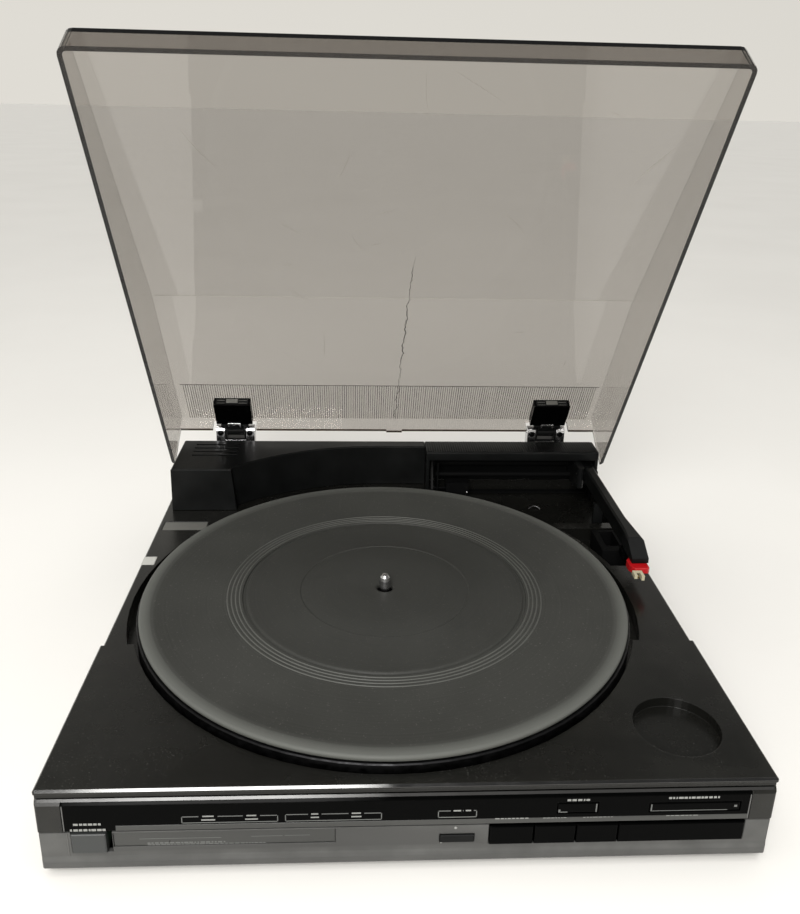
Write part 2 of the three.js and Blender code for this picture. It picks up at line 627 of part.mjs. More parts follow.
const FRAME_BOTTOM = FLOOR_Z + GAP;
let frame = box(SUPPORT_X[0], SUPPORT_X[1] + SUPPORT_THICKNESS, 333, 337.8, FRAME_BOTTOM, FRAME_BOTTOM + 1.4);
for (const x of SUPPORT_X) {
  frame = frame.add(box(x, x + SUPPORT_THICKNESS, 321.6, 338.4, FRAME_BOTTOM, 73));
}
frame = frame.subtract(cylinderX(ROD.y, ROD.z, ROD.radius + GAP, 30, 170));
frame = frame.subtract(cylinderX(SCREW.y, SCREW.z, SCREW.radius + GAP, 30, 170));
frame = frame.subtract(cylinderX(MOTOR_SHAFT.y, MOTOR_SHAFT.z, MOTOR_SHAFT.radius + 1, 30, 42));
addPart(root, 'carriage_frame', frame, DULL_STEEL);

addPart(root, 'guide_rod', cylinderX(ROD.y, ROD.z, ROD.radius, 37.8, 165.8), STEEL);

addPart(root, 'lead_screw', join(
  cylinderX(SCREW.y, SCREW.z, SCREW.radius, 32.6, 165.8),
  cylinderX(SCREW.y, SCREW.z, SCREW_PULLEY_RADIUS - BELT.thickness - GAP, 33.4, 36.6, 28),
  cylinderX(SCREW.y, SCREW.z, SCREW_PULLEY_RADIUS, 32.8, 33.8, 28),
  cylinderX(SCREW.y, SCREW.z, SCREW_PULLEY_RADIUS, 36.2, 37.2, 28),
), BRASS);

const motorBody = box(46, 64.5, 318.8, 331.4, FRAME_BOTTOM, 56.2);
addPart(root, 'carriage_motor', motorBody.subtract(
  cylinderX(MOTOR_SHAFT.y, MOTOR_SHAFT.z, MOTOR_SHAFT.radius + 0.1, 44, 60),
), HOUSING_BLACK);

addPart(root, 'motor_pulley', join(
  cylinderX(MOTOR_SHAFT.y, MOTOR_SHAFT.z, MOTOR_SHAFT.radius, 33.2, 59),
  cylinderX(MOTOR_SHAFT.y, MOTOR_SHAFT.z, MOTOR_PULLEY_RADIUS - BELT.thickness - GAP, 33.4, 36.6),
  cylinderX(MOTOR_SHAFT.y, MOTOR_SHAFT.z, MOTOR_PULLEY_RADIUS, 32.8, 33.8),
  cylinderX(MOTOR_SHAFT.y, MOTOR_SHAFT.z, MOTOR_PULLEY_RADIUS, 36.2, 37.2),
), BRASS);

// Belt outline around the two pulleys: tangent lines and two arcs, in [y, z].
function beltLoop(smallRadius, largeRadius) {
  const dy = SCREW.y - MOTOR_SHAFT.y;
  const dz = SCREW.z - MOTOR_SHAFT.z;
  const heading = THREE.MathUtils.radToDeg(Math.atan2(dz, dy));
  const lean = THREE.MathUtils.radToDeg(Math.acos((smallRadius - largeRadius) / Math.hypot(dy, dz)));
  return [
    ...arcPoints(MOTOR_SHAFT.y, MOTOR_SHAFT.z, smallRadius, heading + lean, heading + 360 - lean, 12),
    ...arcPoints(SCREW.y, SCREW.z, largeRadius, heading - lean, heading + lean, 14),
  ];
}
const beltSmall = MOTOR_PULLEY_RADIUS - BELT.thickness;
const beltLarge = SCREW_PULLEY_RADIUS - BELT.thickness;
const belt = profileX(beltLoop(MOTOR_PULLEY_RADIUS, SCREW_PULLEY_RADIUS), BELT.x0, BELT.x1)
  .subtract(profileX(beltLoop(beltSmall, beltLarge), BELT.x0 - 1, BELT.x1 + 1));
addPart(root, 'drive_belt', belt, FOOT_RUBBER);

// ---------------------------------------------------------------- carriage and tonearm

const LUG_LEFT = [148.7, 153.6];
const LUG_RIGHT = [161.5, 164.2];
const lugRadius = (LUG_LEFT[1] - LUG_LEFT[0]) / 2;
let carriage = join(
  box(LUG_LEFT[0], LUG_RIGHT[1], 315, 338.6, 57, 73.4),
  box(...LUG_LEFT, 303.4, 316, 60, 77),
  cylinderZ(LUG_LEFT[0] + lugRadius, 303.4, lugRadius, 60, 77, 20),
  box(...LUG_RIGHT, 301, 316, 64, 74.5),
);
carriage = carriage.subtract(cylinderX(ROD.y, ROD.z, ROD.radius + 0.1, 140, 170));
carriage = carriage.subtract(cylinderX(SCREW.y, SCREW.z, SCREW.radius + 0.12, 140, 170));
carriage = carriage.subtract(cylinderX(PIVOT.y, PIVOT.z, PIVOT.radius + GAP, 140, 170, 16));
addPart(root, 'carriage', carriage, HOUSING_BLACK);

addPart(root, 'arm_pivot_pin', cylinderX(PIVOT.y, PIVOT.z, PIVOT.radius, 148.9, 164, 16), STEEL);

// Side outline of the arm in [y, z], straight along the top and sloping down over the head.
const armSide = [
  [HEAD.front, HEAD.bottom], [HEAD.back, HEAD.bottom], [HEAD.back, ARM.bottom], [311, ARM.bottom],
  [313.4, 68.4], [313.4, 72.6], [302, ARM.top], [HEAD.slope, ARM.top], [HEAD.front, HEAD.lip],
];

// Plan outline of the arm, slim at the pivot and widening into the head.
function armPlan(inset) {
  return [
    [HEAD.left + inset, HEAD.front], [HEAD.right - inset, HEAD.front], [HEAD.right - inset, 186],
    [162.6 - inset, 200], [ARM.right - inset, 218], [ARM.right - inset, 314],
    [ARM.left + inset, 314], [ARM.left + inset, 199], [HEAD.left + inset, 187],
  ];
}
const ARM_CHAMFER = 1.2;
const arm = join(
  prism(armPlan(0), ARM.bottom - 1, ARM.top - ARM_CHAMFER),
  loft(armPlan(0), ARM.top - ARM_CHAMFER, armPlan(ARM_CHAMFER), ARM.top + 0.01),
).intersect(profileX(armSide, HEAD.left - 1, HEAD.right + 1))
  .subtract(cylinderX(PIVOT.y, PIVOT.z, PIVOT.radius + 0.1, 140, 170, 16));
addPart(root, 'tonearm', arm, HOUSING_BLACK);

const CARTRIDGE = { x0: 152, x1: 162.6 };
addPart(root, 'cartridge', box(CARTRIDGE.x0, CARTRIDGE.x1, 182.6, 197, 60.4, 66.3), GLOSS_BLACK);

const HOLDER = { left: 151, right: 163, front: 166, back: 182.3, bottom: 61.6, top: 66.3 };
const holder = prism([
  [HOLDER.right, HOLDER.back], [153.5, HOLDER.back], [153.5, 179.5], [HOLDER.left, 177.5],
  [HOLDER.left, 171], [151.8, 168], [153.6, HOLDER.front], [161.8, HOLDER.front], [HOLDER.right, 167.2],
], HOLDER.bottom, HOLDER.top).intersect(profileX([
  [HOLDER.front - 1, 62.8], [172, HOLDER.bottom - 0.1], [HOLDER.back + 1, HOLDER.bottom - 0.1],
  [HOLDER.back + 1, HOLDER.top + 1], [167.4, HOLDER.top + 1], [HOLDER.front - 1, 65],
], HOLDER.left - 1, HOLDER.right + 1));
const HOLDER_SLOT = { x0: 153, x1: 155.6 };
const holderSlot = box(HOLDER_SLOT.x0, HOLDER_SLOT.x1, HOLDER.front - 2, 174, HOLDER.bottom - 1, 64.6);
addPart(root, 'stylus_holder', holder.subtract(holderSlot), STYLUS_RED);

const STYLUS_X = 154.3;
addPart(root, 'stylus', join(
  cylinderY(STYLUS_X, 62.9, 0.45, 160.9, 173.7, 10),
  cylinderZ(STYLUS_X, 161.6, 0.4, 61.8, 63, 10),
), BRASS);

// Two prongs that stand either side of the stylus, joined by a bar over it.
const GUARD = { left: 151.2, right: 157.4, front: 158.6, back: 165.6, prong: 1.9, bottom: 61.9, top: 65.2 };
const guard = join(
  box(GUARD.left, GUARD.right, GUARD.back - 1.6, GUARD.back, 64, GUARD.top),
  box(GUARD.left, GUARD.left + GUARD.prong, GUARD.front + 1, GUARD.back, GUARD.bottom + 0.6, GUARD.top),
  box(GUARD.right - GUARD.prong, GUARD.right, GUARD.front, GUARD.back, GUARD.bottom, GUARD.top),
);
addPart(root, 'stylus_guard', guard, CLEAR_GUARD);

// Open-topped rest under the parked head.
const REST = { x0: 145.6, x1: 163.2, y0: 211.5, y1: 242.5, top: 54, floor: 43 };
const armRest = box(REST.x0, REST.x1, REST.y0, REST.y1, FRAME_BOTTOM, REST.top)
  .subtract(box(150, 160, 218.5, 239.5, REST.floor, REST.top + 1));
addPart(root, 'arm_rest', armRest, HOUSING_BLACK);

addPart(root, 'arm_post', join(
  box(152.4, 159.6, 263.4, 266.4, FRAME_BOTTOM, 64.6),
  box(149.5, 162.5, 262.4, 272, FRAME_BOTTOM, FRAME_BOTTOM + 2),
), HOUSING_BLACK);

// ---------------------------------------------------------------- hinges

HINGE_X.forEach((x, i) => {
  const side = ['left', 'right'][i];
  const cheek = (x0, x1) => join(
    cylinderX(HINGE.y, HINGE.z, 4.6, x0, x1, 24),
    box(x0, x1, HINGE.y - 4.6, HINGE.y + 4.6, 66, HINGE.z),
  );
  const base = join(
    cheek(x - 15.5, x - 8.8),
    cheek(x + 8.8, x + 15.5),
    box(x - 15.5, x + 15.5, HINGE.y - 4.6, HINGE.y + 4.6, 66, 82.2),
    box(x - 12, x + 12, HOUSING_BACK + 1.3, HINGE.y, 30, 80),
  ).subtract(cylinderX(HINGE.y, HINGE.z, 1.8, x - 20, x + 20, 16));
  addPart(root, `hinge_base_${side}`, base, STEEL);

  const plate = (x0, x1) => join(
    cylinderX(HINGE.y, HINGE.z, 4, x0, x1, 20),
    box(x0, x1, HINGE.y - 4, HINGE.y + 4, 82.5, HINGE.z),
  );
  const bracket = join(
    plate(x - 8.5, x - 7.2),
    plate(x + 7.2, x + 8.5),
    box(x - 8.5, x + 8.5, HINGE.y - 4, HINGE.y + 4, 82.5, 83.7),
  ).subtract(cylinderX(HINGE.y, HINGE.z, 1.8, x - 20, x + 20, 16));
  addPart(root, `hinge_bracket_${side}`, bracket, HOUSING_BLACK);

  addPart(root, `hinge_pin_${side}`, cylinderX(HINGE.y, HINGE.z, 1.5, x - 15.2, x + 15.2, 16), STEEL);
});

// ---------------------------------------------------------------- dust cover

// Everything on the cover is drawn closed, about the hinge pin, and then swung open.
const lidGroup = new THREE.Group();
lidGroup.name = 'lid_assembly';
lidGroup.position.set(0, HINGE.y, HINGE.z);
lidGroup.rotation.x = THREE.MathUtils.degToRad(-HINGE.angle);
root.add(lidGroup);

function lidPlan(inset, z0, z1) {
  const corner = Math.max(5 - inset, 2.4);
  const rearCorner = inset > 0 ? 0.4 : 3;
  const front = LID.frontHalf - inset;
  const rear = LID.rearHalf - inset;
  const y0 = -LID.front + inset;
  const y1 = -LID.rear - inset;
  return prism([
    ...arcPoints(front - corner, y0 + corner, corner, -90, 0, 4),
    ...arcPoints(rear - rearCorner, y1 - rearCorner, rearCorner, 0, 90, 3),
    ...arcPoints(-rear + rearCorner, y1 - rearCorner, rearCorner, 90, 180, 3),
    ...arcPoints(-front + corner, y0 + corner, corner, 180, 270, 4),
  ], z0, z1);
}

function lidSide(drop, x) {
  const t = LID.thickness * drop;
  return profileX([
    [-LID.front - 1, LID.rim - 5], [-LID.front - 1, LID.frontTop - t - 0.15],
    [-LID.front + 2.5, LID.frontTop - t + 0.4],
    [-LID.bend, LID.top - t], [1, LID.top - t], [1, LID.rim - 5],
  ], -x, x);
}

function buildLid() {
  const outer = lidPlan(0, LID.rim, LID.top + 5).intersect(lidSide(0, 200));
  const inner = lidPlan(LID.thickness, LID.rim - 5, LID.top + 5).intersect(lidSide(1, 200));
  let body = outer.subtract(inner);
  const rearInner = -LID.rear - LID.thickness - 0.1;
  const sideInner = LID.rearHalf - LID.thickness;
  const cutRear = (x0, x1, z1) => {
    body = body.subtract(box(x0, x1, rearInner, 1, LID.rim - 1, z1));
  };
  const TAB = { x0: -2.6, x1: 10.2, rim: -6.6 };
  cutRear(-sideInner, TAB.x0, LID.rearRim);
  cutRear(TAB.x0 - 0.01, TAB.x1 + 0.01, TAB.rim);
  cutRear(TAB.x1, sideInner, LID.rearRim);
  for (const x of HINGE_X) {
    cutRear(x - LID.notchHalf, x + LID.notchHalf, LID.notchTop);
  }
  return body;
}
addPart(lidGroup, 'lid', buildLid(), SMOKED);

HINGE_X.forEach((x, i) => {
  const side = ['left', 'right'][i];
  const underside = LID.top - LID.thickness - GAP;
  const socket = box(x - 14.5, x + 14.5, -34, -9.6, -1.6, underside)
    .subtract(box(x - 8.3, x + 8.3, -31, -9, 0.3, 3.9));
  addPart(lidGroup, `hinge_socket_${side}`, socket, GLOSS_BLACK);

  const hingeArm = join(
    cylinderX(0, 0, 4.2, x - 6.8, x + 6.8, 24),
    box(x - 6.8, x + 6.8, -8, 0, -2.6, 3.6),
    box(x - 11, x + 11, -9.3, -6.8, -2.6, 3.6),
    box(x - 8, x + 8, -30.5, -9, 0.6, 3.6),
  ).subtract(cylinderX(0, 0, 1.6, x - 20, x + 20, 16));
  addPart(lidGroup, `hinge_arm_${side}`, hingeArm, HOUSING_BLACK);
});

export default root;
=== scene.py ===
import json
import math
import random
import bpy
import bmesh
from mathutils import Matrix, Vector


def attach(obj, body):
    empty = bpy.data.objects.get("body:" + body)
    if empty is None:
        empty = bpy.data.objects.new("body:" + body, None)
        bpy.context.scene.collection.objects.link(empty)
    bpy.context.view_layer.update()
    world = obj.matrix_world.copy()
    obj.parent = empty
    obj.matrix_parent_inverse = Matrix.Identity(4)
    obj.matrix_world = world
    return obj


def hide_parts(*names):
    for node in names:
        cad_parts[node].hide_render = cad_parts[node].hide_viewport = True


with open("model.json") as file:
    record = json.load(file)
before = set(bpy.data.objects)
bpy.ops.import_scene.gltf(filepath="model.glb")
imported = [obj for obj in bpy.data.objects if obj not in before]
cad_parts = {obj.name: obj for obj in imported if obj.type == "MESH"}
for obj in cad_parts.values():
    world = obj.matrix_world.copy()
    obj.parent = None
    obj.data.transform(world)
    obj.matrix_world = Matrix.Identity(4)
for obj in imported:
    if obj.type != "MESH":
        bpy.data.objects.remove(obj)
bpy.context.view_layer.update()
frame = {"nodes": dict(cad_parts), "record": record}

NODES = frame["nodes"]
MM = 0.001
CENTRE_Y = 178.075               # middle of the player from front to back, in millimetres


def at(x, y, z):
    """A point given in millimetres, y from the cabinet's front edge and z from the table."""
    return Vector((x * MM, (y - CENTRE_Y) * MM, z * MM))


# ------------------------------------------------------------------ camera

LENS = 33.8416                   # millimetres, for a sensor 36 mm along its longer side
SHIFT_Y = -0.06236               # part of that side


def make_camera():
    """Hand-held view from the front, a little left of the middle and turned slightly to the right."""
    position = at(-28.08, -314.8, 347.8)
    pitch, heading, roll = 0.334, 0.055, 0.024
    flat = math.cos(pitch)
    ahead = Vector((math.sin(heading) * flat, math.cos(heading) * flat, -math.sin(pitch)))
    right = Vector((math.cos(heading), -math.sin(heading), 0.0))
    up = right.cross(ahead)
    r = math.cos(roll) * right + math.sin(roll) * up
    u = -math.sin(roll) * right + math.cos(roll) * up
    data = bpy.data.cameras.new("camera")
    data.lens = LENS
    data.shift_y = SHIFT_Y
    data.clip_start, data.clip_end = 0.01, 80.0
    cam = bpy.data.objects.new("camera", data)
    bpy.context.scene.collection.objects.link(cam)
    cam.matrix_world = Matrix((
        (r.x, u.x, -ahead.x, position.x),
        (r.y, u.y, -ahead.y, position.y),
        (r.z, u.z, -ahead.z, position.z),
        (0, 0, 0, 1)))
    bpy.context.scene.camera = cam


make_camera()

# ------------------------------------------------------------------ node helpers

def material(name):
    """Empty material with a principled shader: the material, its node tree and the shader."""
    mat = bpy.data.materials.new(name)
    mat.use_nodes = True
    tree = mat.node_tree
    tree.nodes.clear()
    out = tree.nodes.new("ShaderNodeOutputMaterial")
    shader = tree.nodes.new("ShaderNodeBsdfPrincipled")
    tree.links.new(shader.outputs[0], out.inputs[0])
    return mat, tree, shader


def node(tree, kind, inputs=None, **props):
    """New node with its inputs linked where a socket is given and set otherwise."""
    n = tree.nodes.new(kind)
    for key, value in props.items():
        setattr(n, key, value)
    for key, value in (inputs or {}).items():
        if isinstance(value, bpy.types.NodeSocket):
            tree.links.new(value, n.inputs[key])
        else:
            n.inputs[key].default_value = value
    return n


def ramp(tree, factor, stops):
    n = tree.nodes.new("ShaderNodeValToRGB")
    while len(n.color_ramp.elements) < len(stops):
        n.color_ramp.elements.new(0.5)
    for element, (position, color) in zip(n.color_ramp.elements, stops):
        element.position = position
        element.color = (*color, 1)
    tree.links.new(factor, n.inputs[0])
    return n.outputs[0]


def noise(tree, vector, scale, detail=3.0, rough=0.5):
    inputs = {"Vector": vector, "Scale": scale, "Detail": detail, "Roughness": rough}
    return node(tree, "ShaderNodeTexNoise", inputs).outputs[0]


def maths(tree, operation, a, b=0.0):
    return node(tree, "ShaderNodeMath", {0: a, 1: b}, operation=operation).outputs[0]


def spread(tree, factor, low, high, start=0.3, end=0.7):
    """The factor's range from start to end, mapped on to low to high."""
    inputs = {0: factor, 1: start, 2: end, 3: low, 4: high}
    return node(tree, "ShaderNodeMapRange", inputs).outputs[0]


def blend(tree, factor, a, b):
    inputs = {0: factor, 6: a, 7: b}
    return node(tree, "ShaderNodeMix", inputs, data_type="RGBA").outputs[2]


def object_place(tree):
    return node(tree, "ShaderNodeTexCoord").outputs["Object"]


def facing_up(tree):
    normal = node(tree, "ShaderNodeNewGeometry").outputs["Normal"]
    return node(tree, "ShaderNodeSeparateXYZ", {0: normal}).outputs[2]


def grey(v):
    return (v, v, v)


def scaled(color, k):
    return tuple(c * k for c in color)


def surface_normal(tree, shader, height, strength, distance, edge=0.0):
    """Fine relief over softly rounded edges."""
    inputs = {"Strength": strength, "Distance": distance, "Height": height}
    if edge:
        inputs["Normal"] = node(tree, "ShaderNodeBevel", {0: edge * MM}, samples=6).outputs[0]
    tree.links.new(node(tree, "ShaderNodeBump", inputs).outputs[0], shader.inputs["Normal"])


DUST = (0.20, 0.195, 0.18, 1)
RELIEF = 0.0003                  # metres, the depth of fine texture


def plastic(name, color, rough=0.45, specular=0.3, grain=900.0, bump=0.1, dust=0.1, drift=0.12,
            edge=0.6, painted_edge_highlight=0.0, ior=1.5):
    """Moulded plastic: drifting tone, fine texture, smudged gloss, lint on upward faces, painted highlight
    on sharp convex edges.
    """
    mat, t, s = material(name)
    co = object_place(t)
    tones = [(0.35, scaled(color, 1 - drift)), (0.65, scaled(color, 1 + drift))]
    base = ramp(t, noise(t, co, 9.0, 4.0), tones)
    lint = ramp(t, noise(t, co, 1300.0, 2.0, 0.5), [(0.66, grey(0.0)), (0.74, grey(1.0))])
    patches = ramp(t, noise(t, co, 22.0, 3.0), [(0.45, grey(0.15)), (0.65, grey(1.0))])
    up = spread(t, facing_up(t), 0.0, dust, 0.6, 1.0)
    amount = maths(t, "MULTIPLY", maths(t, "MULTIPLY", lint, patches), up)
    base = blend(t, amount, base, DUST)
    # painted highlight: sharp convex edges lightened in the base colour, unevenly
    if painted_edge_highlight:
        pointy = node(t, "ShaderNodeNewGeometry").outputs["Pointiness"]
        uneven = spread(t, noise(t, co, 60.0), 0.2, 1.0)
        edge_highlight_mask = maths(t, "MULTIPLY", spread(t, pointy, 0.0, painted_edge_highlight, 0.53, 0.6), uneven)
        base = blend(t, edge_highlight_mask, base, (*scaled(color, 6), 1))
    t.links.new(base, s.inputs["Base Color"])
    smudge = noise(t, co, 24.0, 5.0, 0.65)
    t.links.new(spread(t, smudge, rough - 0.05, rough + 0.09), s.inputs["Roughness"])
    s.inputs["Specular IOR Level"].default_value = specular
    s.inputs["IOR"].default_value = ior
    surface_normal(t, s, noise(t, co, grain, 2.0), bump, RELIEF, edge)
    return mat


def metal(name, color, rough=0.25):
    """Bare metal with a slightly uneven tone and fine scratches."""
    mat, t, s = material(name)
    co = object_place(t)
    scratch = noise(t, co, 300.0, 4.0, 0.6)
    tone = ramp(t, noise(t, co, 40.0, 3.0), [(0.3, scaled(color, 0.8)), (0.7, color)])
    t.links.new(tone, s.inputs["Base Color"])
    s.inputs["Metallic"].default_value = 1.0
    t.links.new(spread(t, scratch, rough * 0.7, rough * 1.5), s.inputs["Roughness"])
    surface_normal(t, s, scratch, 0.08, 0.0002, 0.2)
    return mat


def rubber(name, color, rough=0.8, dust=0.35):
    """Cloudy rubber with specks of dust."""
    mat, t, s = material(name)
    co = object_place(t)
    cloud = noise(t, co, 16.0, 6.0, 0.7)
    base = ramp(t, cloud, [(0.3, scaled(color, 0.82)), (0.7, scaled(color, 1.22))])
    specks = ramp(t, noise(t, co, 900.0, 2.0, 0.6), [(0.62, grey(0.0)), (0.78, grey(1.0))])
    amount = maths(t, "MULTIPLY", specks, dust)
    t.links.new(blend(t, amount, base, DUST), s.inputs["Base Color"])
    t.links.new(spread(t, cloud, rough - 0.08, rough + 0.1), s.inputs["Roughness"])
    s.inputs["Specular IOR Level"].default_value = 0.3
    surface_normal(t, s, noise(t, co, 1400.0, 2.0), 0.2, RELIEF, 0.3)
    return mat


# ------------------------------------------------------------------ materials by slot

MATERIALS = {
    "deck_black": plastic("deck_black", (0.0055, 0.0055, 0.0047), 0.24, 0.32, grain=1500, bump=0.04,
                          dust=0.3, edge=0.5, painted_edge_highlight=0.3),
    "housing_black": plastic("housing_black", (0.0026, 0.0028, 0.0028), 0.34, 0.25, dust=0.15,
                             edge=0.5, painted_edge_highlight=0.3, ior=1.3),
    "gloss_black": plastic("gloss_black", (0.0008, 0.0009, 0.0009), 0.1, 0.15, grain=200, bump=0.01,
                           dust=0.0, edge=0.5, ior=1.2),
    "case_grey": plastic("case_grey", (0.051, 0.0515, 0.05), 0.4, 0.4, painted_edge_highlight=0.2),
    "foot_rubber": rubber("foot_rubber", (0.01, 0.01, 0.01), 0.8, 0.1),
    "mat_rubber": rubber("mat_rubber", (0.034, 0.035, 0.031), 0.72),
    "cast_metal": metal("cast_metal", (0.02, 0.02, 0.021), 0.4),
    "steel": metal("steel", (0.62, 0.62, 0.63), 0.2),
    "dull_steel": metal("dull_steel", (0.05, 0.052, 0.055), 0.4),
    "board": plastic("board", (0.02, 0.09, 0.035), 0.4),
    "copper": metal("copper", (0.5, 0.2, 0.08), 0.3),
    "magnet": plastic("magnet", (0.02, 0.02, 0.021), 0.6),
    "brass": metal("brass", (0.62, 0.45, 0.16), 0.25),
    "stylus_red": plastic("stylus_red", (0.40, 0.005, 0.008), 0.28, 0.5, dust=0.0, drift=0.05, edge=0.5),
    "clear_guard": plastic("clear_guard", (0.46, 0.43, 0.30), 0.25, 0.5, dust=0.0, edge=0.3),
    "inlay_grey": plastic("inlay_grey", (0.044, 0.045, 0.043), 0.3, 0.35, dust=0.0),
    "pad_grey": plastic("pad_grey", (0.12, 0.12, 0.11), 0.6, 0.3, grain=500, bump=0.5, dust=0.3),
    "pad_silver": plastic("pad_silver", (0.52, 0.52, 0.49), 0.35, 0.5),
}
SHADED_BLACK = plastic("shaded_black", (0.0022, 0.0023, 0.0024), 0.7, 0.2, dust=0.05, edge=0.3, ior=1.25)
BUTTON_GREY = plastic("button_grey", (0.036, 0.039, 0.039), 0.35, 0.4, dust=0.0, edge=0.5)
SHEEN = plastic("polished_edge", (0.004, 0.004, 0.004), 0.1, 1.0, grain=300, bump=0.01, dust=0.0,
                edge=0.0, ior=1.6)
# painted highlight: the ledge's middle band, lighter and glossier than the gloss black beside it
LEDGE_PAINTED_HIGHLIGHT = plastic("ledge_painted_highlight", (0.02, 0.02, 0.02), 0.16, 0.6, grain=300, bump=0.01, dust=0.0,
                      edge=0.0)
PRINT = plastic("white_print", (0.25, 0.255, 0.245), 0.5, dust=0.0, edge=0.0)
DIM_PRINT = plastic("grey_print", (0.12, 0.124, 0.12), 0.5, dust=0.0, edge=0.0)


ACRYLIC_IOR = 1.49
SMOKE = (0.22, 0.163, 0.10, 1)
SMOKE_DENSITY = 255.0


def smoked_material():
    """Clear acrylic with a brown tint that deepens with the length of the light's way through it."""
    mat, t, s = material("smoked")
    co = object_place(t)
    s.inputs["Base Color"].default_value = (1, 1, 1, 1)
    s.inputs["Transmission Weight"].default_value = 1.0
    s.inputs["IOR"].default_value = ACRYLIC_IOR
    haze = noise(t, co, 30.0, 5.0, 0.7)
    t.links.new(spread(t, haze, 0.0, 0.03), s.inputs["Roughness"])
    tint = node(t, "ShaderNodeVolumeAbsorption", {"Color": SMOKE, "Density": SMOKE_DENSITY})
    out = next(n for n in t.nodes if n.type == "OUTPUT_MATERIAL")
    t.links.new(tint.outputs[0], out.inputs["Volume"])
    return mat


MATERIALS["smoked"] = smoked_material()

CREASE = math.radians(28)        # edges sharper than this stay sharp
IN_SHADE = ("guide_rod", "lead_screw", "carriage_frame", "carriage_motor", "arm_rest", "motor_pulley")
SPECIAL = {name: SHADED_BLACK for name in IN_SHADE}
SPECIAL["power_button"] = BUTTON_GREY

for entry in frame["record"]["subparts"]:
    obj = NODES[entry["node"]]
    obj.data.materials.clear()
    obj.data.materials.append(SPECIAL.get(entry["node"], MATERIALS[entry["material_slot"]]))
    obj.data.shade_smooth()
    obj.data.set_sharp_from_angle(angle=CREASE)

# ------------------------------------------------------------------ pieces

def piece(name, bm, mat, body, smooth=None):
    """Object from a bmesh that rides on a body; smooth is the crease angle in degrees."""
    mesh = bpy.data.meshes.new(name)
    bmesh.ops.recalc_face_normals(bm, faces=bm.faces)
    bm.to_mesh(mesh)
    bm.free()
    mesh.materials.append(mat)
    if smooth:
        mesh.shade_smooth()
        mesh.set_sharp_from_angle(angle=math.radians(smooth))
    obj = bpy.data.objects.new(name, mesh)
    bpy.context.scene.collection.objects.link(obj)
    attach(obj, body)
    return obj


def bridge(bm, rings):
    """Faces between neighbouring rings of the same number of points."""
    for a, b in zip(rings, rings[1:]):
        for i in range(len(a)):
            j = (i + 1) % len(a)
            bm.faces.new((a[i], a[j], b[j], b[i]))


def cap(bm, rings):
    """Close both ends of a bridged row of rings."""
    bm.faces.new(list(reversed(rings[0])))
    bm.faces.new(rings[-1])


def lathe(bm, profile, centre, segments):
    """Turned surface about an upright axis from [radius, z] pairs in millimetres."""
    turns = [math.tau * i / segments for i in range(segments)]
    x, y = centre
    rings = [[bm.verts.new(at(x + radius * math.cos(a), y + radius * math.sin(a), z)) for a in turns]
             for radius, z in profile]
    bridge(bm, rings)


PLATTER = (-8.7, 160.3)
MAT_TOP = 57.5
MAT_FACE = MAT_TOP - 0.5         # playing face, below the raised rim
MAT_BOTTOM = MAT_TOP - 3
MAT_HOLE = 5.0
MAT_RIDGES = (98.0, 95.4, 92.9, 90.5)
MERGE = 1e-7


def mat_profile():
    """Section of the mat: raised rim, plain band, groove round the 7 inch disc, inner ring, hole."""
    rim = [(149.5, MAT_BOTTOM), (150.0, MAT_TOP - 2), (150.0, MAT_TOP - 1.2), (149.6, MAT_TOP - 0.4),
           (148.9, MAT_TOP - 0.05), (148.0, MAT_TOP), (143.6, MAT_TOP), (143.0, MAT_TOP - 0.12)]
    face = [(142.4, 0), (88.9, 0), (88.4, -0.9), (86.9, -0.9), (86.6, -0.2), (86.1, 0.1), (85.2, 0.2),
            (84.0, 0.1), (82.6, 0), (54.4, 0), (53.8, 0.22), (53.2, 0.2), (52.7, -0.2), (52.0, 0),
            (6.4, 0), (5.4, -0.2), (MAT_HOLE, -0.7)]
    hole = [(MAT_HOLE, MAT_BOTTOM)]
    return hole + rim + [(radius, MAT_FACE + rise) for radius, rise in face] + hole


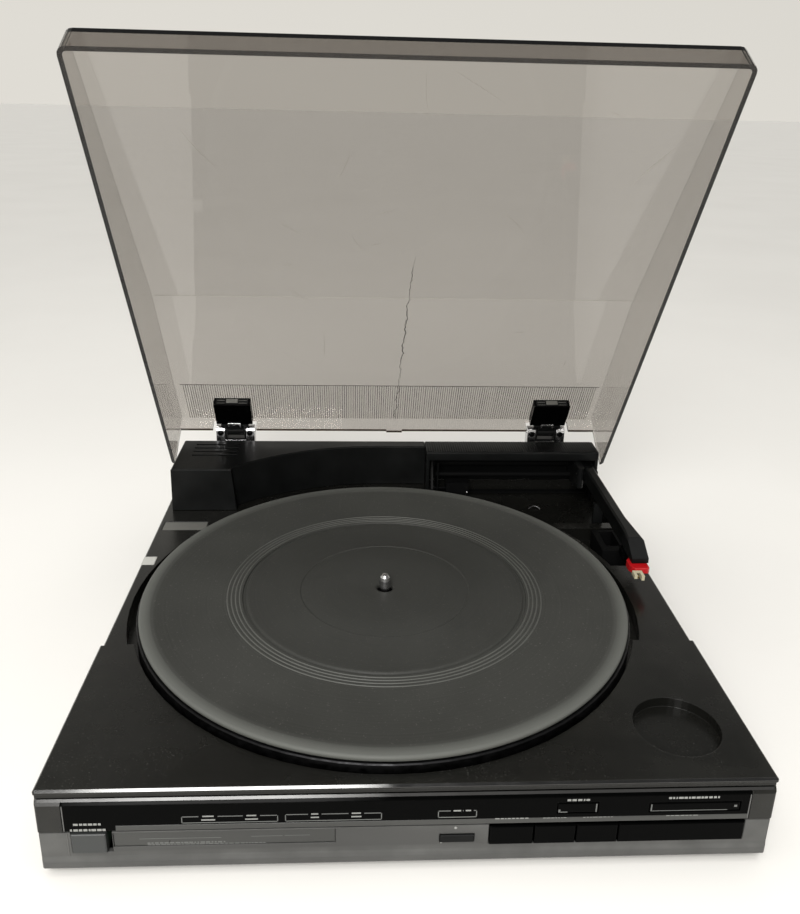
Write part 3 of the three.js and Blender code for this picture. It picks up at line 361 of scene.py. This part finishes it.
def mat_material():
    """Ribbed rubber mat: cloudy, a little dusty, with rings polished where records have touched and a
    painted highlight round the outer rim.
    """
    mat, t, s = material("mat_rubber_rings")
    co = object_place(t)
    centre = at(*PLATTER, 0)
    local = node(t, "ShaderNodeVectorMath", {0: co, 1: centre}, operation="SUBTRACT").outputs[0]
    flat = node(t, "ShaderNodeVectorMath", {0: local, 1: (1, 1, 0)}, operation="MULTIPLY").outputs[0]
    radius = node(t, "ShaderNodeVectorMath", {0: flat}, operation="LENGTH").outputs["Value"]
    cloud = noise(t, co, 14.0, 6.0, 0.72)
    base = ramp(t, cloud, [(0.3, (0.026, 0.027, 0.0245)), (0.7, (0.041, 0.042, 0.038))])
    across = {"W": maths(t, "MULTIPLY", radius, 900.0), "Scale": 1.0, "Detail": 2.0}
    rings = node(t, "ShaderNodeTexNoise", across, noise_dimensions="1D").outputs[0]
    base = blend(t, spread(t, rings, 0.0, 0.35), base, (0.047, 0.048, 0.044, 1))
    specks = ramp(t, noise(t, co, 800.0, 2.0, 0.6), [(0.64, grey(0.0)), (0.76, grey(1.0))])
    base = blend(t, maths(t, "MULTIPLY", specks, 0.3), base, DUST)
    streaked = {"Vector": co, "Rotation": (0, 0, 0.9), "Scale": (90.0, 6.0, 1.0)}
    streaks = noise(t, node(t, "ShaderNodeMapping", streaked).outputs[0], 1.0, 4.0, 0.6)
    scuffs = ramp(t, streaks, [(0.66, grey(0.0)), (0.8, grey(1.0))])
    base = blend(t, maths(t, "MULTIPLY", scuffs, 0.25), base, (0.09, 0.09, 0.083, 1))
    # painted highlight: the outer rim band lightened in the base colour
    rim = spread(t, radius, 0.0, 0.8, 0.1405, 0.1475)
    base = blend(t, rim, base, (0.11, 0.114, 0.105, 1))
    inner = spread(t, radius, 0.4, 0.0, 0.084, 0.091)
    base = blend(t, inner, base, (0.020, 0.0205, 0.0187, 1))
    t.links.new(base, s.inputs["Base Color"])
    t.links.new(spread(t, cloud, 0.5, 0.68), s.inputs["Roughness"])
    s.inputs["Specular IOR Level"].default_value = 0.28
    height = maths(t, "ADD", maths(t, "MULTIPLY", noise(t, co, 1400.0, 2.0), 0.4), rings)
    surface_normal(t, s, height, 0.12, RELIEF)
    return mat


def build_mat():
    """Shaped mat in place of the plain disc, with the light ridges that stand on it."""
    bm = bmesh.new()
    lathe(bm, mat_profile(), PLATTER, 256)
    bmesh.ops.remove_doubles(bm, verts=bm.verts, dist=MERGE)
    obj = piece("record_mat", bm, mat_material(), "platter_body", smooth=50)
    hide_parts("platter_mat")
    bm = bmesh.new()
    foot, crest = MAT_FACE - 0.05, MAT_FACE + 0.32
    for r in MAT_RIDGES:
        section = [(r - 0.55, foot), (r + 0.55, foot), (r + 0.2, crest), (r - 0.2, crest), (r - 0.55, foot)]
        lathe(bm, section, PLATTER, 192)
    bmesh.ops.remove_doubles(bm, verts=bm.verts, dist=MERGE)
    ridges = rubber("ridge_rubber", (0.078, 0.08, 0.074), 0.5, 0.2)
    piece("mat_ridges", bm, ridges, "platter_body", smooth=30)


build_mat()

# ------------------------------------------------------------------ front panel

def block(bm, x0, x1, y0, y1, z0, z1, place=at):
    """Box between two limits on each axis, in the coordinates that place understands."""
    corners = [bm.verts.new(place(x, y, z)) for x in (x0, x1) for y in (y0, y1) for z in (z0, z1)]
    for quad in ((0, 1, 3, 2), (4, 6, 7, 5), (0, 4, 5, 1), (2, 3, 7, 6), (0, 2, 6, 4), (1, 5, 7, 3)):
        bm.faces.new([corners[i] for i in quad])


def slab_x(bm, profile, x0, x1, place=at):
    """Bar along X with the given (y, z) or (s, h) outline."""
    ends = [[bm.verts.new(place(x, *point)) for point in profile] for x in (x0, x1)]
    bridge(bm, ends)
    cap(bm, ends)


PRINT_Y = (0.08, 0.3)            # front and back of the printing, in the strip's face
LINE = 0.42                      # width of the printed outlines


def mark(bm, x0, x1, z0, z1):
    block(bm, x0, x1, *PRINT_Y, z0, z1)


def dashes(bm, x0, x1, z, height, seed, y=PRINT_Y):
    """A row of short strokes of uneven length, standing for a small printed caption."""
    rng = random.Random(seed)
    x = x0
    while x < x1 - 0.6:
        width = rng.uniform(0.7, 2.4)
        block(bm, x, min(x + width, x1), *y, z - height / 2, z + height / 2)
        x += width + rng.uniform(0.35, 0.7)


def indicator_frame(bm, x0, x1, z0, z1, ticks):
    """Outline with its top edge broken where each indicator has its tick."""
    mark(bm, x0, x1, z0, z0 + LINE)
    mark(bm, x0, x0 + LINE, z0, z1)
    mark(bm, x1 - LINE, x1, z0, z1)
    left = x0
    for t0, t1 in ticks:
        mark(bm, left, t0 - 1.0, z1 - LINE, z1)
        left = t1 + 1.0
    mark(bm, left, x1, z1 - LINE, z1)


def build_front_print():
    """Indicator outlines, their ticks and the caption strokes on the glossy strip and its soft keys."""
    bm = bmesh.new()
    indicator_frame(bm, -107.1, -62.7, 30.6, 34.6, [(-98.2, -91.4), (-77.9, -72.0)])
    indicator_frame(bm, -59.5, -14.5, 30.6, 34.8, [(-47.9, -43.6), (-29.1, -23.8)])
    indicator_frame(bm, 11.7, 30.1, 31.0, 35.2, [(18.7, 22.8), (24.4, 27.5)])
    piece("indicator_outlines", bm, DIM_PRINT, "cabinet")
    bm = bmesh.new()
    ticks = [
        (-97.4, -92.2, 34.5), (-77.2, -72.7, 34.5), (-47.4, -44.1, 34.7), (-28.6, -24.3, 34.7),
        (-98.0, -91.6, 32.4), (-77.9, -72.0, 32.4), (-47.6, -43.8, 32.7), (-28.8, -24.1, 32.7),
        (19.0, 22.5, 35.0), (24.7, 27.2, 35.0),
    ]
    for x0, x1, z in ticks:
        mark(bm, x0, x1, z - 0.35, z + 0.35)
    captions = [
        (-156.3, -143.8, 31.0, 1.1), (-158.0, -141.7, 27.7, 1.2),   # power button
        (-95.1, -74.4, 28.5, 1.2), (-41.0, -32.4, 28.9, 1.2),       # indicator outlines
        (16.0, 25.5, 28.9, 1.1), (72.5, 83.2, 40.0, 1.1),           # repeat and speed
        (38.9, 55.5, 29.4, 1.2), (61.7, 73.5, 29.2, 1.2),           # forward and cueing keys
        (80.9, 95.3, 29.2, 1.1), (121.0, 145.6, 40.2, 1.1),         # reverse and size keys
        (120.9, 136.9, 29.3, 1.0),                                  # play key
    ]
    for i, (x0, x1, z, height) in enumerate(captions):
        dashes(bm, x0, x1, z, height, i)
    piece("caption_strokes", bm, PRINT, "cabinet")

    key_bars = {
        "speed_key": [(68.7, 69.6, 32.9, 34.6), (69.6, 73.0, 32.8, 33.3), (86.4, 87.0, 32.9, 37.6)],
        "size_key": [(112.9, 113.5, 32.6, 36.6), (153.2, 154.6, 34.3, 35.5), (113.5, 150.0, 32.6, 32.9)],
    }
    for key, bars in key_bars.items():
        bm = bmesh.new()
        for x0, x1, z0, z1 in bars:
            block(bm, x0, x1, 0.02, 0.2, z0, z1)
        piece(f"{key}_print", bm, DIM_PRINT, f"{key}_body")


build_front_print()


SHEEN_HALF = 171.9               # half length of the bright lines along the front
STRIP_HALF = 160.4


def build_sheen():
    """Polished front arris of the deck, and a painted highlight along the middle of the black sloping
    ledge, as a lighter and glossier band.
    """
    bm = bmesh.new()
    arris = [(-0.06, 49.45), (-0.06, 49.62), (0.9, 50.58), (1.1, 50.56), (1.0, 50.3), (0.1, 49.45)]
    slab_x(bm, arris, -SHEEN_HALF, SHEEN_HALF)
    piece("deck_edge_sheen", bm, SHEEN, "cabinet")
    bm = bmesh.new()
    # painted highlight along the middle of the ledge
    middle = [(1.1, 43.18), (1.0, 43.21), (1.82, 44.3), (1.95, 44.25)]
    slab_x(bm, middle, -SHEEN_HALF, SHEEN_HALF)
    piece("ledge_painted_highlight_band", bm, LEDGE_PAINTED_HIGHLIGHT, "cabinet")
    bm = bmesh.new()
    lower = [(0.05, 41.85), (-0.06, 41.88), (0.99, 43.18), (1.09, 43.14)]
    slab_x(bm, lower, -STRIP_HALF, STRIP_HALF)
    upper = [(1.95, 44.28), (1.85, 44.31), (2.1, 44.66), (2.3, 44.6)]
    slab_x(bm, upper, -SHEEN_HALF, SHEEN_HALF)
    piece("ledge_black", bm, MATERIALS["gloss_black"], "cabinet")


build_sheen()


def build_panel_lips():
    """Sloping lower lip of the glossy strip, the raised edges at its ends and the inlay's print."""
    bm = bmesh.new()
    slab_x(bm, [(0.35, 27.2), (-0.1, 27.25), (-0.1, 27.6), (0.12, 29.9), (0.35, 29.9)], -137.2, 160.6)
    lip_grey = plastic("lip_grey", (0.035, 0.036, 0.034), 0.3, 0.5, dust=0.0)
    piece("strip_lower_lip", bm, lip_grey, "cabinet")
    bm = bmesh.new()
    block(bm, -160.9, -STRIP_HALF, -0.05, 0.5, 27.2, 41.6)
    block(bm, STRIP_HALF, 160.9, -0.05, 0.5, 27.2, 41.4)
    block(bm, -160.3, -159.8, 1.05, 1.4, 11.8, 25.1)
    edge_grey = plastic("edge_grey", (0.10, 0.10, 0.098), 0.3, 0.5, dust=0.0)
    piece("panel_edge_lines", bm, edge_grey, "cabinet")
    bm = bmesh.new()
    inlay_y = (1.44, 1.52)
    for x0, x1, z in ((-127.4, -89.6, 20.5), (-75.6, -61.0, 20.8), (-60.0, -48.1, 20.9)):
        block(bm, x0, x1, *inlay_y, z - 0.14, z + 0.14)
    dashes(bm, -123.8, -86.8, 17.9, 0.8, 41, inlay_y)
    dashes(bm, -123.8, -67.8, 16.9, 0.6, 42, inlay_y)
    piece("inlay_strokes", bm, DIM_PRINT, "cabinet")


build_panel_lips()


def dome(bm, centre, radius, height, direction, segments=20, rings=4):
    """Shallow round button standing on a face."""
    side = direction.orthogonal().normalized()
    other = direction.cross(side)
    spokes = [side * math.cos(math.tau * i / segments) + other * math.sin(math.tau * i / segments)
              for i in range(segments)]
    loops = []
    for k in range(rings):
        a = math.pi / 2 * k / rings
        r, h = radius * math.cos(a), height * math.sin(a)
        loops.append([bm.verts.new(centre + spoke * r + direction * h) for spoke in spokes])
    top = bm.verts.new(centre + direction * height)
    bridge(bm, loops)
    for i in range(segments):
        bm.faces.new((loops[-1][i], loops[-1][(i + 1) % segments], top))
    bm.faces.new(list(reversed(loops[0])))


def build_lamps():
    """Two small round lamps by the repeat button."""
    bm = bmesh.new()
    dome(bm, at(20.6, 1.25, 23.7), 0.75 * MM, 0.5 * MM, Vector((0, -1, 0)))
    dome(bm, at(13.9, 1.25, 15.2), 0.6 * MM, 0.4 * MM, Vector((0, -1, 0)))
    piece("repeat_lamps", bm, PRINT, "cabinet", smooth=60)


build_lamps()

# ------------------------------------------------------------------ dust cover

OPEN = math.radians(58.86)
HINGE_Y, HINGE_Z = 351.35, 89.46
HINGES = {"left": -126.0, "right": 131.0}
LID_BEND = 145.4                 # from the hinge pin to where the cover's top begins to slope
LID_INNER = 6.0                  # height of its flat inner face above the pin
LID_SLOPE = 0.1438


def lid_at(x, s, h):
    """A point on the open cover: s forwards from the hinge pin, h outwards, both in millimetres."""
    y = HINGE_Y - s * math.cos(OPEN) + h * math.sin(OPEN)
    z = HINGE_Z + s * math.sin(OPEN) + h * math.cos(OPEN)
    return at(x, y, z)


def inner_skin(s):
    """Height of the cover's inner face, flat near the hinge and sloping forward of the bend."""
    return LID_INNER - max(0.0, s - LID_BEND) * LID_SLOPE


def build_lid_ribs():
    """Fine ribs inside the cover's rear edge, and the line they end at."""
    bm = bmesh.new()
    rng = random.Random(5)
    x = -163.0
    while x < 165.0:
        width = rng.uniform(0.28, 0.42)
        block(bm, x, x + width, 8.4, 49.6, 5.86, LID_INNER, lid_at)
        x += 1.75
    block(bm, -165.0, 167.0, 49.6, 50.1, 5.85, LID_INNER, lid_at)
    ribs = plastic("rib_tint", (0.05, 0.044, 0.037), 0.4, 0.3, dust=0.0, edge=0.0)
    piece("lid_ribs", bm, ribs, "lid_body")


build_lid_ribs()


def build_bend_painted_highlight():
    """Painted highlight along the moulded bend where the cover's top begins to slope: a thin pale line."""
    bm = bmesh.new()
    section = [(145.0, 5.93), (145.3, 5.93), (145.3, LID_INNER), (145.0, LID_INNER)]
    slab_x(bm, section, -168.0, 169.0, lid_at)
    # painted highlight: opaque pale strip along the bend
    pale = plastic("bend_painted_highlight", (0.42, 0.40, 0.36), 0.4, 0.4, dust=0.0, edge=0.0)
    piece("lid_bend_painted_highlight", bm, pale, "lid_body")


build_bend_painted_highlight()


def ribbon(bm, stations):
    """Closed flat strip through stations of four corners each."""
    rings = [[bm.verts.new(corner) for corner in corners] for corners in stations]
    bridge(bm, rings)
    cap(bm, rings)


STRIP_LIFT = 0.04                # how far a crack or scratch stands off the inner face
STRIP_THICKNESS = 0.03


def strip_corners(x, s, dx, ds):
    """Corners of a strip's section on the cover's inner face, half a width (dx, ds) to each side."""
    low = inner_skin(s) - STRIP_LIFT
    high = low + STRIP_THICKNESS
    return (lid_at(x - dx, s - ds, low), lid_at(x + dx, s + ds, low),
            lid_at(x + dx, s + ds, high), lid_at(x - dx, s - ds, high))


def build_crack():
    """Jagged break that runs from the cover's rear edge up past the bend."""
    rng = random.Random(11)
    turns = [(4.4, 7.0), (5.2, 30.0), (6.6, 70.0), (8.3, 113.0), (9.4, 145.0), (10.7, 189.0)]
    steps = 90
    stations = []
    for i in range(steps + 1):
        s = turns[0][1] + (turns[-1][1] - turns[0][1]) * i / steps
        for (xa, sa), (xb, sb) in zip(turns, turns[1:]):
            if sa <= s <= sb:
                x = xa + (xb - xa) * (s - sa) / (sb - sa)
        x += rng.uniform(-0.7, 0.7) + 0.5 * math.sin(s * 0.31)
        share = i / steps
        width = rng.uniform(0.12, 0.5) + 0.35 * math.exp(-((share - 0.55) / 0.18) ** 2)
        width *= 0.25 if share > 0.94 else 1.0
        stations.append(strip_corners(x, s, width / 2, 0.0))
    bm = bmesh.new()
    ribbon(bm, stations)
    dark = plastic("crack_dark", (0.035, 0.03, 0.025), 0.5, 0.3, dust=0.0, edge=0.0)
    piece("lid_crack", bm, dark, "lid_body")


build_crack()


def build_lid_scratches():
    """Faint curved hairline scratches on the clear part of the cover."""
    rng = random.Random(23)
    bm = bmesh.new()
    for _ in range(16):
        x, s = rng.uniform(-140, 140), rng.uniform(60, 320)
        heading, length = rng.uniform(0, math.pi), rng.uniform(6, 38)
        bow = rng.uniform(-0.25, 0.25)
        stations = []
        for k in range(13):
            t = k / 12
            a = heading + bow * t
            px, ps = x + length * t * math.cos(a), s + length * t * math.sin(a)
            if abs(px) > 160 or not 52 < ps < 340:
                break
            width = 0.09 * math.sin(math.pi * t) + 0.01
            stations.append(strip_corners(px, ps, width * math.sin(a), -width * math.cos(a)))
        if len(stations) > 1:
            ribbon(bm, stations)
    pale = plastic("scratch_pale", (0.30, 0.28, 0.25), 0.6, 0.3, dust=0.0, edge=0.0)
    piece("lid_scratches", bm, pale, "lid_body")


build_lid_scratches()

# ------------------------------------------------------------------ hinges and arm bay

def round_edges(bm, offset, segments=1):
    bmesh.ops.bevel(bm, geom=bm.edges[:], offset=offset * MM, segments=segments, affect="EDGES")


SOCKET_FACE = 34.0               # front face of the clip that holds the cover, from the pin
PLATE_FACE = SOCKET_FACE + 0.25


def build_hinge(side, x):
    """Sprung plate, rivet heads and the relief on the clip's front face, for one hinge."""
    bm = bmesh.new()
    block(bm, x - 5.4, x + 5.0, 9.0, 11.4, -2.5, -1.9, lid_at)
    block(bm, x - 5.4, x - 4.0, 7.4, 11.4, -2.7, -1.9, lid_at)
    block(bm, x + 3.6, x + 5.0, 7.4, 11.4, -2.7, -1.9, lid_at)
    round_edges(bm, 0.15, 2)
    piece(f"hinge_spring_{side}", bm, MATERIALS["steel"], "lid_body", smooth=40)
    bm = bmesh.new()
    for dx in (-12.0, 11.6):
        dome(bm, at(x + dx, 346.72, 88.6), 2.5 * MM, 0.7 * MM, Vector((0, -0.94, 0.34)))
    piece(f"hinge_rivets_{side}", bm, MATERIALS["gloss_black"], "cabinet", smooth=60)
    bm = bmesh.new()
    block(bm, x - 12.6, x + 12.6, SOCKET_FACE, PLATE_FACE, -0.6, 5.0, lid_at)
    round_edges(bm, 0.1)
    piece(f"hinge_plate_{side}", bm, MATERIALS["housing_black"], "lid_body", smooth=40)
    bm = bmesh.new()
    block(bm, x - 4.6, x + 4.6, PLATE_FACE, PLATE_FACE + 0.45, 0.4, 4.4, lid_at)
    for low, high in ((0.0, 0.4), (2.6, 3.1)):
        block(bm, x - 11.6, x - 5.4, PLATE_FACE, PLATE_FACE + 0.25, low, high, lid_at)
        block(bm, x + 5.4, x + 11.6, PLATE_FACE, PLATE_FACE + 0.25, low, high, lid_at)
    round_edges(bm, 0.12)
    tab_grey = plastic(f"tab_grey_{side}", (0.10, 0.10, 0.09), 0.3, 0.5, dust=0.0)
    piece(f"hinge_tab_{side}", bm, tab_grey, "lid_body", smooth=40)


for hinge_side, hinge_x in HINGES.items():
    build_hinge(hinge_side, hinge_x)


def build_cover_ribs():
    """Low ribs from front to back across the cover over the arm compartment."""
    bm = bmesh.new()
    x = 30.6
    while x < 167.4:
        block(bm, x, x + 0.8, 319.4, 341.0, 83.7, 84.1)
        x += 1.9
    round_edges(bm, 0.12)
    rib_black = plastic("rib_black", (0.003, 0.003, 0.0028), 0.5, dust=0.3, ior=1.25)
    piece("cover_ribs", bm, rib_black, "cabinet", smooth=40)


build_cover_ribs()


def tube(bm, points, radius, segments=10):
    """Round wire through the points, closed at both ends."""
    rings = []
    for i, p in enumerate(points):
        ahead = (points[min(i + 1, len(points) - 1)] - points[max(i - 1, 0)]).normalized()
        side = ahead.cross(Vector((0.1, 0.2, 1))).normalized()
        other = ahead.cross(side)
        ring = []
        for k in range(segments):
            a = math.tau * k / segments
            ring.append(bm.verts.new(p + (side * math.cos(a) + other * math.sin(a)) * radius))
        rings.append(ring)
    bridge(bm, rings)
    cap(bm, rings)


def build_bay_details():
    """Arched wire clip on the floor of the arm compartment, and a screw head on the motor."""
    bm = bmesh.new()
    steps = 14
    arch = []
    for i in range(steps + 1):
        t = i / steps
        rise = math.sin(math.pi * t)
        arch.append(at(111.5 + 9.5 * t, 303.5 + 2.0 * rise, 41.0 + 1.4 * rise))
    tube(bm, arch, 0.28 * MM)
    wire_steel = metal("wire_steel", (0.16, 0.16, 0.165), 0.35)
    piece("bay_wire_clip", bm, wire_steel, "cabinet", smooth=60)
    bm = bmesh.new()
    dome(bm, at(63.2, 318.75, 48.2), 0.9 * MM, 0.5 * MM, Vector((0, -1, 0)))
    piece("motor_screw", bm, MATERIALS["steel"], "cabinet", smooth=60)


build_bay_details()

# ------------------------------------------------------------------ stage and light

def stage_floor():
    """Plain pale floor that reaches to the horizon."""
    mesh = bpy.data.meshes.new("floor")
    size = 30.0
    corners = [(-size, -size, 0), (size, -size, 0), (size, size, 0), (-size, size, 0)]
    mesh.from_pydata(corners, [], [(0, 1, 2, 3)])
    obj = bpy.data.objects.new("floor", mesh)
    bpy.context.scene.collection.objects.link(obj)
    mat, t, s = material("floor_paint")
    tones = [(0.3, (0.80, 0.79, 0.765)), (0.7, (0.83, 0.82, 0.795))]
    tone = ramp(t, noise(t, object_place(t), 3.0, 4.0), tones)
    t.links.new(tone, s.inputs["Base Color"])
    s.inputs["Roughness"].default_value = 0.6
    s.inputs["Specular IOR Level"].default_value = 0.2
    obj.data.materials.append(mat)


stage_floor()


def make_world():
    """Soft studio dome: bright near the horizon, a little more so on the left, and dimmer overhead."""
    world = bpy.data.worlds.new("world")
    bpy.context.scene.world = world
    world.use_nodes = True
    t = world.node_tree
    direction = node(t, "ShaderNodeTexCoord").outputs["Generated"]
    parts = node(t, "ShaderNodeSeparateXYZ", {0: direction}).outputs
    height = maths(t, "ADD", parts[2], maths(t, "MULTIPLY", parts[0], 0.2))
    stops = [(0.0, (0.74, 0.715, 0.66)), (0.44, (0.66, 0.64, 0.59)), (0.68, (0.16, 0.16, 0.155)),
             (1.0, (0.12, 0.12, 0.12))]
    tone = ramp(t, height, stops)
    background = t.nodes["Background"]
    t.links.new(tone, background.inputs[0])
    background.inputs[1].default_value = 1.0


make_world()


LIGHT_COLOR = (1, 0.985, 0.96)


def lamp(name, kind, energy, aim):
    """Light of the given kind that shines along aim."""
    data = bpy.data.lights.new(name, kind)
    data.energy = energy
    data.color = LIGHT_COLOR
    obj = bpy.data.objects.new(name, data)
    bpy.context.scene.collection.objects.link(obj)
    obj.rotation_euler = Vector(aim).to_track_quat("-Z", "Y").to_euler()
    return obj


overhead = lamp("overhead", "SUN", 1.65, (0.05, 0.12, -1.0))
overhead.data.angle = math.radians(70)

KEY_PLACE = Vector((-0.267, -1.186, 0.974))
KEY_TARGET = Vector((-0.03, -0.02, 0.05))
key = lamp("key", "AREA", 20, KEY_TARGET - KEY_PLACE)
key.location = KEY_PLACE
key.data.shape = "RECTANGLE"
key.data.size, key.data.size_y = 0.5, 0.8

bpy.context.scene.view_settings.view_transform = "Standard"
